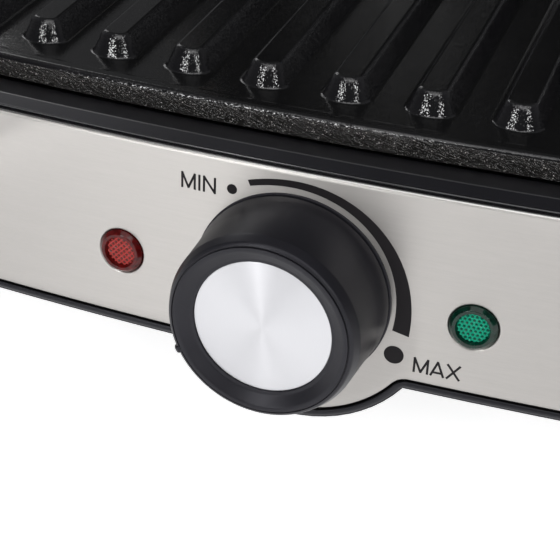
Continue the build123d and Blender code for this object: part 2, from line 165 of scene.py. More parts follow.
def make_object(name, verts, faces, matrix=TO_FRAME, sharp=35, baked=True):
    """An object from points and faces. Baked, the points are in millimetres and the matrix goes
    into the mesh. Otherwise they are in metres and the matrix is the object's own."""
    mesh = bpy.data.meshes.new(name)
    mesh.from_pydata([tuple(v) for v in verts], [], faces)
    work = bmesh.new()
    work.from_mesh(mesh)
    micron = 1e-3 if baked else 1e-6
    bmesh.ops.remove_doubles(work, verts=work.verts, dist=micron)
    bmesh.ops.recalc_face_normals(work, faces=work.faces)
    work.to_mesh(mesh)
    work.free()
    if baked:
        mesh.transform(matrix)
    obj = bpy.data.objects.new(name, mesh)
    bpy.context.scene.collection.objects.link(obj)
    if not baked:
        obj.matrix_world = matrix
    smooth(obj, sharp)
    return obj


def smooth(obj, sharp):
    """Smooth shading with edges over the angle kept sharp."""
    for polygon in obj.data.polygons:
        polygon.use_smooth = True
    obj.data.set_sharp_from_angle(angle=radians(sharp))


def skin(loops, closed=False, capped=True):
    """Points and quads between loops of equal length; closed joins the last to the first."""
    count = len(loops[0])
    verts = [v for loop in loops for v in loop]
    faces = []
    pairs = len(loops) if closed else len(loops) - 1
    for i in range(pairs):
        a, b = i * count, (i + 1) % len(loops) * count
        for j in range(count):
            k = (j + 1) % count
            faces.append((a + j, a + k, b + k, b + j))
    if capped and not closed:
        faces.append(tuple(range(count))[::-1])
        faces.append(tuple((len(loops) - 1) * count + j for j in range(count)))
    return verts, faces


def lathe(name, profile, matrix, steps=128, closed=False, sharp=35):
    """A turned piece in its own frame, local Z its axis. The profile of (radius, height) points
    runs from axis to axis, or is a closed ring."""
    loops = []
    for radius, height in profile:
        radius = max(radius, 1e-3)
        loops.append([(radius * cos(a) * MM, radius * sin(a) * MM, height * MM) for a in around(steps)])
    verts, faces = skin(loops, closed=closed, capped=not closed)
    return make_object(name, verts, faces, matrix, sharp, baked=False)


def rounded(points, radius, steps=5):
    """A polyline with its inner corners rounded. A point may carry its own radius."""
    result = [tuple(points[0][:2])]
    for before, here, after in zip(points, points[1:], points[2:]):
        r = here[2] if len(here) > 2 else radius
        p = Vector(here[:2])
        a = Vector(before[:2]) - p
        b = Vector(after[:2]) - p
        turn = a.angle(b)
        reach = min(r / max(tan(turn / 2), 1e-6), 0.45 * a.length, 0.45 * b.length)
        if r <= 0 or turn > radians(178):
            result.append(tuple(p))
            continue
        start, end = p + a.normalized() * reach, p + b.normalized() * reach
        for t in spread(0, 1, steps):
            result.append(tuple(start.lerp(p, t).lerp(p.lerp(end, t), t)))
    result.append(tuple(points[-1][:2]))
    return result


def join(first, *others):
    """Merges objects into the first."""
    with bpy.context.temp_override(active_object=first, selected_editable_objects=[first, *others]):
        bpy.ops.object.join()
    return first


def cut(obj, cutter, operation="DIFFERENCE"):
    """Applies an exact boolean and removes the cutter."""
    modifier = obj.modifiers.new("cut", "BOOLEAN")
    modifier.operation = operation
    modifier.solver = "EXACT"
    modifier.object = cutter
    bpy.context.view_layer.update()
    result = bpy.data.meshes.new_from_object(obj.evaluated_get(bpy.context.evaluated_depsgraph_get()))
    obj.modifiers.clear()
    old, obj.data = obj.data, result
    result.name = obj.name
    bpy.data.meshes.remove(old)
    bpy.data.objects.remove(cutter)


def dress(obj, material, body, slot, *replaced):
    """Gives a new piece its material and body, and hides the CAD nodes that it stands for. The slot is not
    used.
    """
    obj.data.materials.clear()
    obj.data.materials.append(material)
    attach(obj, body)
    if replaced:
        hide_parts(*replaced)
    return obj


# ---- Materials -----------------------------------------------------------------------------

class Shader:
    """A small builder round one Principled material."""

    def __init__(self, name, **sockets):
        self.material = bpy.data.materials.new(name)
        self.material.use_nodes = True
        self.tree = self.material.node_tree
        self.main = self.tree.nodes["Principled BSDF"]
        for socket, value in sockets.items():
            self.main.inputs[socket.replace("_", " ")].default_value = value
        self.place = self.add("ShaderNodeTexCoord").outputs["Object"]

    def add(self, kind, **settings):
        node = self.tree.nodes.new(kind)
        for key, value in settings.items():
            setattr(node, key, value)
        return node

    def link(self, output, target):
        self.tree.links.new(output, target)

    def stretched(self, scale, turn=(0, 0, 0)):
        """Object coordinates scaled per metre along each axis."""
        node = self.add("ShaderNodeMapping")
        node.inputs["Scale"].default_value = scale
        node.inputs["Rotation"].default_value = turn
        self.link(self.place, node.inputs["Vector"])
        return node.outputs["Vector"]

    def directed(self, *axes):
        """Coordinates measured along the given directions, their lengths the scale per metre."""
        joined = self.add("ShaderNodeCombineXYZ")
        for axis, socket in zip(axes, joined.inputs):
            if any(axis):
                dot_product = self.add("ShaderNodeVectorMath", operation="DOT_PRODUCT")
                self.link(self.place, dot_product.inputs[0])
                dot_product.inputs[1].default_value = axis
                self.link(dot_product.outputs["Value"], socket)
        return joined.outputs[0]

    def noise(self, vector, scale=1.0, detail=3.0, roughness=0.55):
        node = self.add("ShaderNodeTexNoise")
        node.inputs["Scale"].default_value = scale
        node.inputs["Detail"].default_value = detail
        node.inputs["Roughness"].default_value = roughness
        self.link(vector, node.inputs["Vector"])
        return node.outputs["Fac"]

    def ramp(self, value, *stops):
        """A colour ramp from (position, grey or colour) stops."""
        node = self.add("ShaderNodeValToRGB")
        elements = node.color_ramp.elements
        while len(elements) < len(stops):
            elements.new(0.5)
        for element, (position, colour) in zip(elements, stops):
            element.position = position
            element.color = (*colour, 1) if hasattr(colour, "__len__") else (colour, colour, colour, 1)
        self.link(value, node.inputs["Fac"])
        return node.outputs["Color"]

    def range(self, value, low, high):
        """Spreads a value from 0 to 1 over another range."""
        node = self.add("ShaderNodeMapRange")
        node.inputs["To Min"].default_value = low
        node.inputs["To Max"].default_value = high
        self.link(value, node.inputs["Value"])
        return node.outputs["Result"]

    def math(self, operation, a, b):
        """Combines two values, each a number or an output."""
        node = self.add("ShaderNodeMath", operation=operation)
        for value, socket in zip((a, b), node.inputs):
            if isinstance(value, (int, float)):
                socket.default_value = value
            else:
                self.link(value, socket)
        return node.outputs[0]

    def colour(self, output):
        self.link(output, self.main.inputs["Base Color"])

    def rough(self, value, low, high):
        self.link(self.range(value, low, high), self.main.inputs["Roughness"])

    def bump(self, height, depth, under=None):
        """Relief of a depth in metres."""
        node = self.add("ShaderNodeBump")
        node.inputs["Strength"].default_value = 1.0
        node.inputs["Distance"].default_value = depth
        self.link(height, node.inputs["Height"])
        if under is not None:
            self.link(under, node.inputs["Normal"])
        self.link(node.outputs["Normal"], self.main.inputs["Normal"])

    def flakes(self, vector, cells, tilt):
        """Small facets, each tilted its own way, as in a metallic or glittery coat."""
        cell = self.add("ShaderNodeTexVoronoi")
        cell.inputs["Scale"].default_value = cells
        self.link(vector, cell.inputs["Vector"])
        centred = self.add("ShaderNodeVectorMath", operation="SUBTRACT")
        self.link(cell.outputs["Color"], centred.inputs[0])
        centred.inputs[1].default_value = (0.5, 0.5, 0.5)
        scaled = self.add("ShaderNodeVectorMath", operation="SCALE")
        scaled.inputs["Scale"].default_value = tilt
        self.link(centred.outputs[0], scaled.inputs[0])
        normal = self.add("ShaderNodeNewGeometry").outputs["Normal"]
        summed = self.add("ShaderNodeVectorMath", operation="ADD")
        self.link(normal, summed.inputs[0])
        self.link(scaled.outputs[0], summed.inputs[1])
        unit = self.add("ShaderNodeVectorMath", operation="NORMALIZE")
        self.link(summed.outputs[0], unit.inputs[0])
        self.link(unit.outputs[0], self.main.inputs["Normal"])
        return cell.outputs["Color"]

    def painted_glints(self, colour, cells, share, glint_colour):
        """Paints the cells over a share of their random value in a bright colour: painted glints."""
        split = self.add("ShaderNodeSeparateColor")
        self.link(cells, split.inputs[0])
        mix = self.add("ShaderNodeMix", data_type="RGBA")
        plain, bright, mixed = mix.inputs[6], mix.inputs[7], mix.outputs[2]
        self.link(self.ramp(split.outputs["Red"], (share, 0.0), (share + 0.01, 1.0)), mix.inputs["Factor"])
        self.link(colour, plain)
        bright.default_value = (*glint_colour, 1)
        return mixed


def shade(colour, factor):
    """A darker or lighter tone of a colour."""
    return tuple(min(c * factor, 1) for c in colour)


def plastic(name, colour, rough, grain, depth, vary=0.15, **more):
    """Moulded plastic: grain of a fineness and depth, slightly uneven gloss."""
    s = Shader(name, **more)
    cloud = s.noise(s.stretched((60, 60, 60)), detail=2)
    fine = s.noise(s.stretched((grain, grain, grain)), detail=2)
    s.colour(s.ramp(cloud, (0.3, shade(colour, 1 - vary)), (0.7, shade(colour, 1 + vary))))
    s.rough(cloud, *rough)
    s.bump(fine, depth)
    return s.material


def brushed(name, colour, along, rough, depth=0.000004, vary=0.05, **more):
    """Metal brushed along one axis (0, 1 or 2)."""
    s = Shader(name, Metallic=1.0, **more)
    scale = [7000.0, 7000.0, 7000.0]
    scale[along] = 14.0
    lines = s.noise(s.stretched(scale), detail=4, roughness=0.7)
    coarse = [1100.0, 1100.0, 1100.0]
    coarse[along] = 5.0
    bands = s.noise(s.stretched(coarse), detail=2)
    mixed = s.math("ADD", s.math("MULTIPLY", lines, 0.7), s.math("MULTIPLY", bands, 0.3))
    s.colour(s.ramp(mixed, (0.3, shade(colour, 1 - vary)), (0.7, shade(colour, 1 + vary))))
    s.rough(mixed, *rough)
    s.bump(mixed, depth)
    return s.material


def coated(name, colour, tilt, rough=(0.10, 0.20), streaks=False, gloss=0.4):
    """Sprayed non-stick coat with a fine glitter. With streaks, the machining under it shows and a few flakes
    are painted bright as glints."""
    s = Shader(name, Specular_IOR_Level=gloss)
    cells = s.flakes(s.place, 4600.0, tilt)
    s.rough(cells, *rough)
    if streaks:
        lines = s.noise(s.directed((113, 0, -40), (842, 0, 2352), (0, 0, 0)), detail=4, roughness=0.75)
        streak = s.ramp(lines, (0.38, shade(colour, 0.2)), (0.62, shade(colour, 2.1)))
        # A few cells are painted light grey: painted glints.
        s.colour(s.painted_glints(streak, cells, 0.968, (0.4, 0.385, 0.37)))
        under = s.main.inputs["Normal"].links[0].from_socket
        s.bump(lines, 0.0003, under)
    else:
        cloud = s.noise(s.stretched((90, 90, 90)), detail=3)
        s.colour(s.ramp(cloud, (0.3, shade(colour, 0.8)), (0.7, shade(colour, 1.2))))
    return s.material


def make_materials():
    """The frame's material slots, each with its looks."""
    sheen = dict(Specular_IOR_Level=0.28, Specular_Tint=(0.92, 0.92, 1.0, 1.0))
    return {
        "black_housing": plastic("housing_black", (0.0102, 0.0099, 0.0122), (0.32, 0.4), 2400, 0.000010,
                                 **sheen),
        "black_base_plate": plastic("base_plate_black", (0.018, 0.018, 0.019), (0.5, 0.6), 1500, 0.00003),
        "tray_plastic": plastic("tray_black", (0.018, 0.018, 0.02), (0.42, 0.55), 1800, 0.00002),
        "brushed_panel": brushed("steel_brushed", (0.46, 0.443, 0.427), 0, (0.38, 0.48), Anisotropic=0.75,
                                 Anisotropic_Rotation=0.25),
        "nonstick_coating": coated("nonstick", (0.005, 0.005, 0.0053), 0.06),
        "heater_sheath": plastic("sheath_oxide", (0.07, 0.065, 0.055), (0.45, 0.6), 3000, 0.00002,
                                Metallic=0.7),
        "plain_steel": brushed("steel_plain", (0.46, 0.455, 0.45), 2, (0.3, 0.45)),
        "aluminised_sheet": brushed("aluminised", (0.6, 0.6, 0.6), 1, (0.35, 0.5), vary=0.1),
        "knob_plastic": plastic("knob_black", (0.0112, 0.0108, 0.0138), (0.34, 0.42), 3800, 0.000012,
                                **sheen),
        "spun_disc": spun_metal("disc_spun"),
        "nickel_plate": brushed("nickel", (0.66, 0.64, 0.6), 2, (0.12, 0.22), depth=0.000001),
        "phenolic_case": plastic("phenolic", (0.10, 0.045, 0.02), (0.4, 0.55), 900, 0.00003, vary=0.3),
        "nylon": plastic("nylon_natural", (0.60, 0.57, 0.50), (0.35, 0.5), 1200, 0.00001, vary=0.05,
                         Subsurface_Weight=0.1),
        "red_lens": lens_plastic("lens_red", (0.10, 0.030, 0.026), (0.36, 0.040, 0.036), 0.25, (-0.15, 0.15)),
        "green_lens": lens_plastic("lens_green", (0.002, 0.06, 0.038), (0.003, 0.28, 0.165), 0.2,
                                   (-0.2, 0.1)),
        "lamp_glass": plastic("lamp_glass", (0.8, 0.6, 0.5), (0.05, 0.1), 400, 0.000002,
                              Transmission_Weight=0.8),
        "foot_rubber": plastic("foot_rubber", (0.022, 0.022, 0.022), (0.7, 0.85), 1600, 0.00004),
        "gland_rubber": plastic("gland_rubber", (0.02, 0.02, 0.02), (0.6, 0.75), 1600, 0.00003),
        "wire_sleeve": woven_sleeve("sleeve_woven"),
        "arm_steel": brushed("steel_arm", (0.55, 0.54, 0.53), 2, (0.22, 0.34)),
        "grip_plastic": plastic("grip_black", (0.018, 0.018, 0.020), (0.38, 0.48), 2200, 0.00002),
    }


def spun_metal(name):
    """Aluminium turned from its middle: grooves round the axis stretch its highlights."""
    s = Shader(name, Metallic=1.0, Anisotropic=0.85, Anisotropic_Rotation=0.25)
    tangent = s.add("ShaderNodeTangent", direction_type="RADIAL", axis="Z")
    s.link(tangent.outputs[0], s.main.inputs["Tangent"])
    split = s.add("ShaderNodeSeparateXYZ")
    s.link(s.place, split.inputs[0])
    square = s.math("ADD", s.math("POWER", split.outputs[0], 2.0), s.math("POWER", split.outputs[1], 2.0))
    radius = s.math("SQRT", square, 0.0)
    ring = s.add("ShaderNodeCombineXYZ")
    s.link(s.math("MULTIPLY", radius, 9000.0), ring.inputs[0])
    grooves = s.noise(ring.outputs[0], detail=3)
    s.colour(s.ramp(grooves, (0.3, (0.55, 0.55, 0.572)), (0.7, (0.61, 0.61, 0.633))))
    s.rough(grooves, 0.26, 0.36)
    s.bump(grooves, 0.0000015)
    return s.material


def lens_plastic(name, dark, light, gloss, relief=None):
    """Coloured lamp plastic. Given a relief's low and high level in millimetres, it is painted darker in the
    hollows: painted shade."""
    s = Shader(name, Specular_IOR_Level=gloss)
    cloud = s.noise(s.stretched((900, 900, 900)), detail=2)
    tone = cloud
    if relief:
        split = s.add("ShaderNodeSeparateXYZ")
        s.link(s.place, split.inputs[0])
        height = s.add("ShaderNodeMapRange")
        height.inputs["From Min"].default_value = relief[0] * MM
        height.inputs["From Max"].default_value = relief[1] * MM
        s.link(split.outputs["Z"], height.inputs["Value"])
        # Lighter on the ridges and darker in the hollows: painted shade of the relief.
        height_shade = s.math("MULTIPLY", height.outputs["Result"], 0.8)
        tone = s.math("ADD", height_shade, s.math("MULTIPLY", cloud, 0.2))
    s.colour(s.ramp(tone, (0.35, dark), (0.65, light)))
    s.rough(cloud, 0.08, 0.16)
    s.bump(cloud, 0.00001)
    return s.material


def woven_sleeve(name):
    """Glass-fibre sleeving on the wires."""
    s = Shader(name)
    weave = s.add("ShaderNodeTexWave", wave_type="BANDS", bands_direction="DIAGONAL")
    weave.inputs["Scale"].default_value = 900
    s.link(s.place, weave.inputs["Vector"])
    s.colour(s.ramp(weave.outputs["Fac"], (0.2, (0.35, 0.33, 0.30)), (0.8, (0.6, 0.57, 0.52))))
    s.rough(weave.outputs["Fac"], 0.6, 0.8)
    s.bump(weave.outputs["Fac"], 0.00008)
    return s.material


materials = make_materials()


# ---- Front of the base ---------------------------------------------------------------------

def front_y(x, z, depth=0.0):
    """Depth coordinate of the base's front wall, following the bow and the rounded corner."""
    inset = lean_in(z) + depth
    half, front, corner = BASE["half"] - inset, BASE["front"] + inset, BASE["corner"] - inset
    radius = bow_radius(half, BASE["bow"])
    corner_x = half - corner
    corner_y = front + radius - sqrt((radius - corner) ** 2 - corner_x**2)
    if abs(x) > corner_x * radius / (radius - corner):
        return corner_y - sqrt(corner**2 - (abs(x) - corner_x) ** 2)
    return front + radius - sqrt(radius**2 - x**2)


# Centre of the fillet between the straight lower edge and the drop, and its distance from the axis
FILLET_Z = PANEL_BOTTOM - DROP_FILLET
FILLET_REACH = DROP_R + DROP_FILLET
FILLET_X = sqrt(FILLET_REACH**2 - (KNOB_Z - FILLET_Z) ** 2)


def drop_edge(x):
    """Height of the steel panel's lower edge, with the filleted round drop under the knob."""
    x = abs(x)
    if x < FILLET_X * DROP_R / FILLET_REACH:
        return KNOB_Z - sqrt(DROP_R**2 - x**2)
    if x < FILLET_X:
        return FILLET_Z + sqrt(DROP_FILLET**2 - (x - FILLET_X) ** 2)
    return PANEL_BOTTOM


def hole_cutter(name, radius, matrix, flare=0.5):
    """A tool that cuts a hole whose outer edge is rounded over."""
    lip = [(radius + flare - flare * cos(a), -flare + flare * sin(a)) for a in spread(0, pi / 2, 6)]
    profile = [(0, -6), (radius, -6), *lip, (radius + flare, 3), (0, 3)]
    return lathe(name, profile, matrix, 96)


def make_front_panel():
    """Steel sheet: bowed, leaning, its top edge rolled back under the bezel."""
    roll, edge, flange = 0.9, 0.25, 1.0
    high = SHELL_TOP
    loops = []
    for x in spread(-PANEL_HALF, PANEL_HALF, 268):
        low = drop_edge(x)
        profile = [(PANEL_T, low), (edge, low), (edge * 0.3, low + edge * 0.3)]
        profile += [(0, z) for z in spread(low + edge, high - roll - 0.15, 22)] + [(0, high - roll)]
        profile += [(roll - roll * cos(a), high - roll + roll * sin(a)) for a in spread(0, pi / 2, 6)[1:]]
        profile += [(flange, high), (flange, high - 0.5), (PANEL_T, high - 0.5)]
        loops.append([(x, front_y(x, z, depth), z) for depth, z in profile])
    verts, faces = skin(loops)
    panel = make_object("front_panel_sheet", verts, faces, sharp=40)
    for name, x in (("left", RED_X), ("right", GREEN_X)):
        cut(panel, hole_cutter(f"hole_{name}", LENS_R + 0.12, panel_frame(x, LENS_Z)))
    cut(panel, hole_cutter("hole_bush", BUSH_HOLE_R, panel_frame(), 0.1))
    smooth(panel, 40)
    dress(panel, materials["brushed_panel"], "base", "brushed_panel", "front_panel")
    # The roll's upward faces get a smoother steel painted lighter than the panel: a painted highlight along
    # the top edge.
    panel.data.materials.append(brushed("steel_rolled_edge_painted_highlight", (0.62, 0.61, 0.60), 0, (0.22, 0.30)))
    for polygon in panel.data.polygons:
        if polygon.center.z > (SHELL_TOP - roll) * MM and polygon.normal.z > 0.7:
            polygon.material_index = 1


def lip_path():
    """The steel's lower edge from left to right, as points with outward normals in x and z."""
    turn = asin(FILLET_X / FILLET_REACH)
    half = [(x, PANEL_BOTTOM, 0.0, -1.0) for x in spread(PANEL_HALF + 0.4, FILLET_X, 60)]
    for a in spread(0, turn, 12)[1:]:
        half.append((FILLET_X - DROP_FILLET * sin(a), FILLET_Z + DROP_FILLET * cos(a), sin(a), -cos(a)))
    for a in spread(turn, 0, 40)[1:]:
        half.append((DROP_R * sin(a), KNOB_Z - DROP_R * cos(a), sin(a), -cos(a)))
    mirrored = [(-x, z, -nx, nz) for x, z, nx, nz in half]
    return mirrored + half[-2::-1]


def make_lip():
    """Black bead below the steel, and a thin matt black strip between them: painted shadow in the gap."""
    tall = PANEL_BOTTOM - LIP_Z
    bead = rounded([(0.5, 1.6), (0.5, -0.2, 0.25), (tall * 0.6, -0.5, 1.0), (tall, -0.1, 0.7),
                    (tall + 0.05, 2.2), (0.5, 2.2)], 0.2)[:-1]
    lip = make_object("front_lip", *along_lip(bead), sharp=50)
    dress(lip, materials["black_housing"], "base", "black_housing")
    # A matt black strip stands in for the shadow in the gap between steel and lip: painted shadow.
    seal = make_object("panel_gap_painted_shadow", *along_lip([(0.02, 0.8), (0.02, -0.02), (0.52, -0.02), (0.52, 0.8)]))
    painted_gap_shadow = plastic("gap_shadow_matt_black", (0.0015, 0.0015, 0.0015), (0.9, 1.0), 3000, 0.00001, Specular_IOR_Level=0.02)
    dress(seal, painted_gap_shadow, "base", "black_housing")


def along_lip(section):
    """Draws a section, given as (away from the steel's edge, depth), along the lower edge."""
    loops = []
    for x, z, nx, nz in lip_path():
        loop = []
        for away, depth in section:
            px, pz = x + nx * away, z + nz * away
            loop.append((px, front_y(px, pz) + depth, pz))
        loops.append(loop)
    return skin(loops)


def make_bezel():
    """Frame round the plate: flat band, crisp inner edge, slope down into the dark well."""
    skirt_in = 5.6
    section = [(skirt_in, WELL_Z, 0), (skirt_in, 77.2, 0), (3.5, 77.85, 0.05), (3.35, 78.28, 0.22),
               (4.0, 78.3, 0.1), (BEZEL_IN, 79.1, 1.2), (WELL_IN, WELL_RIM_Z, 0.6), (WELL_IN, WELL_Z, 0)]
    points = rounded(section + [section[0]], 0.2, 4)[:-1]
    loops = []
    for inset, z in points:
        back = BASE["back"] - REAR_DECK * min(max(inset - skirt_in, 0.0), 1.0)
        wider = WELL_SIDE * max(0.0, (inset - BEZEL_IN) / (WELL_IN - BEZEL_IN))
        loops.append(level(inset, z, BASE, back=back, half=BASE["half"] + wider))
    verts, faces = skin(loops, closed=True)
    bezel = make_object("bezel_ring", verts, faces, sharp=50)
    dress(bezel, materials["black_housing"], "base", "black_housing", "top_bezel")
    # Copies of the housing plastic painted lighter, as painted highlights: a glossier one for the outer edge,
    # a lighter one for the crest.
    edge = plastic("bezel_edge_painted_highlight", (0.03, 0.03, 0.032), (0.12, 0.2), 2400, 0.000004, Specular_IOR_Level=0.9)
    crest = plastic("bezel_crest_painted_highlight", (0.05, 0.05, 0.053), (0.25, 0.35), 2400, 0.000004, Specular_IOR_Level=0.5)
    bezel.data.materials.append(edge)
    bezel.data.materials.append(crest)
    # Faces on the outer edge and on the crest's flat top take the painted highlight copies.
    for polygon in bezel.data.polygons:
        height, flatness = polygon.center.z / MM, abs(polygon.normal.z)
        if 78.05 < height < 78.32 and flatness < 0.97:
            polygon.material_index = 1
        elif height > 79.0 and flatness > 0.985:
            polygon.material_index = 2


# ---- Plates --------------------------------------------------------------------------------

def rib_outline(x, half, front, depth, z):
    """One level of a rib: straight flanks, a half ellipse at both ends."""
    front_mid = RIB_FRONT + x**2 / (2 * RIB_BOW) + front
    back_mid = RIB_BACK - front
    points = [(x + half * sin(a), front_mid + depth * (1 - cos(a)), z) for a in spread(-pi / 2, pi / 2, 18)]
    points += [(x + half * sin(a), back_mid - depth * (1 - cos(a)), z) for a in spread(pi / 2, -pi / 2, 18)]
    return points


def make_rib(x):
    """A drafted rib with a flared foot, a rounded top and half-cone ends. Each station has its
    height over the floor, half width, setback of the ends and depth of their rounding."""
    rise = RIB_TOP - PLATE_FLOOR
    stations = [(-0.4, 6.3, -0.3, 4.0), (0.0, 6.3, -0.3, 4.0), (0.05, 5.9, -0.15, 3.8), (0.18, 5.5, 0.0, 3.5),
                (0.45, 5.35, 0.15, 3.4), (1.0, 5.1, 0.4, 3.2), (rise - 1.3, 3.85, 1.8, 2.5),
                (rise - 0.8, 3.6, 2.1, 2.3), (rise - 0.4, 3.35, 2.4, 2.1), (rise - 0.12, 3.0, 2.8, 1.8),
                (rise, 2.55, 3.2, 1.5)]
    loops = [rib_outline(x, half, front, depth, PLATE_FLOOR + up) for up, half, front, depth in stations]
    return skin(loops)


def make_plate(name, matrix, mirrored, drained):
    """Die-cast plate: raised rim, a faint step, the floor and its ribs."""
    section = [(5.0, 77.0), (5.0, PLATE_UNDER), (0.6, PLATE_UNDER, 0.4), (0.05, PLATE_RIM, 1.4),
               (3.5, PLATE_RIM, 0.3), (3.75, 80.45, 0.15), (4.35, 80.42, 0.15), (4.6, PLATE_FLOOR, 0.2),
               (6.0, PLATE_FLOOR)]
    loops = [level(inset, z, PLATE) for inset, z in rounded(section, 0.2, 4)]
    verts, faces = skin(loops)
    plate = make_object(name, verts, faces, Matrix(), sharp=40)
    ribs = None
    for i in range(-RIB_SIDE, RIB_SIDE + 1):
        rib = make_object("rib", *make_rib(RIB_SHIFT + i * RIB_PITCH), Matrix(), sharp=40)
        ribs = rib if ribs is None else join(ribs, rib)
    cut(plate, ribs, "UNION")
    if drained:
        ends = [[(DRAIN_R * cos(a), DRAIN_Y + DRAIN_R * sin(a), z) for a in around(48)] for z in (70, 90)]
        cut(plate, make_object("drain", *skin(ends), Matrix()))
    smooth(plate, 40)
    for polygon in plate.data.polygons:
        polygon.use_smooth = abs(polygon.normal.z) < 0.9999
    if mirrored:
        plate.data.transform(Matrix.Translation((0, 0, 2 * MIRROR_Z)) @ Matrix.Scale(-1, 4, (0, 0, 1)))
        plate.data.flip_normals()
    plate.data.transform(matrix)
    return plate


def make_plates():
    # Coats painted lighter than the floor's by face slope: the outer wall's over its machining streaks, for
    # light it catches, and the steep faces' for highlights.
    side = coated("nonstick_edge_painted_light", (0.0175, 0.0162, 0.0152), 0.55, (0.02, 0.05), streaks=True, gloss=1.0)
    slopes = coated("nonstick_slopes_painted_lighter", (0.010, 0.0098, 0.011), 0.22, (0.03, 0.07), gloss=0.6)
    lower = make_plate("lower_grill", TO_FRAME, False, True)
    dress(lower, materials["nonstick_coating"], "base", "nonstick_coating", "lower_plate")
    upper = make_plate("upper_grill", LID_OPEN, True, False)
    dress(upper, materials["nonstick_coating"], "lid", "nonstick_coating", "upper_plate")
    for plate in (lower, upper):
        plate.data.materials.append(side)
        plate.data.materials.append(slopes)
    streaked_and_painted_lit_sides(lower, TO_FRAME)
    streaked_and_painted_lit_sides(upper, LID_OPEN)


def streaked_and_painted_lit_sides(plate, matrix):
    """The outer wall of the casting gets the streaked coat, painted lighter than the floor and with painted
    glints; its other steep faces glitter and are painted lighter than the floor, as painted highlights.
    """
    back = matrix.inverted()
    turn = back.to_3x3()
    for polygon in plate.data.polygons:
        flatness = abs((turn @ polygon.normal).normalized().z)
        where = back @ polygon.center
        if flatness < 0.35 and outline_gap(where.x, where.y) < 1.2:
            polygon.material_index = 1
        elif flatness < 0.93:
            polygon.material_index = 2


def outline_gap(x, y):
    """Roughly how far a point is inside the plate's outline."""
    front = PLATE["front"] + x**2 / (2 * PLATE["bow"])
    corner = PLATE["corner"]
    dx, dy = PLATE["half"] - abs(x), min(y - front, PLATE["back"] - y)
    if dx < corner and dy < corner:
        return corner - sqrt((corner - dx) ** 2 + (corner - dy) ** 2)
    return min(dx, dy)


# ---- Knob and printed scale ----------------------------------------------------------------

def make_knob():
    here = panel_frame()
    ring = rounded([(17.5, -0.6), (RING_R, -0.6), (RING_R, 0.45, 0.25), (17.5, 0.45)], 0.2)
    dress(lathe("knob_seal", ring, here, closed=True), materials["knob_plastic"], "base", "knob_plastic",
          "knob_ring")
    profile = [(3.05, 3.4), (7.0, 3.4), (7.0, 13.5), (17.8, 13.5), (19.6, 1.0), (22.1, 1.0, 0.3),
               (21.5, 7.5, 40), (KNOB_R, 17.0, 2.0), (20.15, 19.15, 1.3), (19.42, 19.55, 0.5),
               (19.38, 19.2, 0.06), (19.14, 19.2, 0.06), (19.1, KNOB_H - 0.02, 0.12), (18.2, 19.62, 2.5),
               (15.9, 18.05, 1.2), (DISC_R + 0.06, 17.95, 0.25), (DISC_R + 0.02, 16.75), (3.05, 16.75)]
    knob = lathe("knob_body", rounded(profile, 0.3, 6), here, 192, closed=True, sharp=38)
    dress(knob, materials["knob_plastic"], "knob_assembly", "knob_plastic", "knob")
    pointer = make_pointer(here @ Matrix.Rotation(POINTER_AT + pi / 2, 4, "Z"))
    dress(pointer, materials["knob_plastic"], "knob_assembly", "knob_plastic")
    cap = rounded([(0.02, 16.8), (DISC_R, 16.8), (DISC_R, DISC_H, 0.12), (0.02, DISC_H)], 0.1, 4)
    disc = lathe("knob_disc_spun", cap, here, 192, sharp=30)
    dress(disc, materials["spun_disc"], "knob_assembly", "spun_disc", "knob_disc")


def make_pointer(matrix):
    """Small ridge over the knob's shoulder; local X points out from the axis."""
    path = [(19.0, 19.35), (19.9, 19.62), (20.5, 19.1), (20.95, 18.1), (21.1, 16.8), (21.05, 15.4)]
    line = rounded(path, 1.2, 3)
    loops = []
    for i, (r, h) in enumerate(line):
        share = i / (len(line) - 1)
        width = 0.8 * (1 - 0.35 * abs(2 * share - 1) ** 3)
        height = 0.3 * sin(pi * min(max(share, 0.04), 0.96)) ** 0.5
        before, after = line[max(i - 1, 0)], line[min(i + 1, len(line) - 1)]
        out = Vector((-(after[1] - before[1]), after[0] - before[0])).normalized()
        section = [(-width, -0.8), (-width, 0.0), (-width * 0.75, height * 0.8), (-width * 0.3, height),
                   (width * 0.3, height), (width * 0.75, height * 0.8), (width, 0.0), (width, -0.8)]
        loops.append([((r + out.x * up) * MM, side * MM, (h + out.y * up) * MM) for side, up in section])
    verts, faces = skin(loops)
    return make_object("knob_pointer", verts, faces, matrix, 50, baked=False)


def ink_prism(outline_points):
    """Raises an outline, given in millimetres on the panel round the knob's axis, to a thin film."""
    sides = zip(outline_points, outline_points[1:] + outline_points[:1])
    if sum(a[0] * b[1] - b[0] * a[1] for a, b in sides) < 0:
        outline_points = outline_points[::-1]
    loops = []
    for depth in (0.25, -0.035):
        loops.append([(x, front_y(x, KNOB_Z + up * cos(LEAN)) + depth, KNOB_Z + up * cos(LEAN))
                      for x, up in outline_points])
    return skin(loops)


def strip(start, end, width):
    """Outline of a straight stroke, a little longer than its ends."""
    way = (end - start).normalized()
    side = Vector((-way.y, way.x)) * width / 2
    start, end = start - way * 0.3 * width, end + way * 0.3 * width
    return [tuple(start + side), tuple(start - side), tuple(end - side), tuple(end + side)]


# Width of each letter and the lines that it is drawn with, in heights of a letter
LETTERS = {
    "M": (0.74, [[(0, 0), (0, 1), (0.37, 0.04), (0.74, 1), (0.74, 0)]]),
    "I": (0.0, [[(0, 0), (0, 1)]]),
    "N": (0.64, [[(0, 0), (0, 1), (0.64, 0), (0.64, 1)]]),
    "A": (0.69, [[(0, 0), (0.345, 1), (0.69, 0)], [(0.10, 0.23), (0.59, 0.23)]]),
    "X": (0.67, [[(0, 0), (0.67, 1)], [(0, 1), (0.67, 0)]]),
}


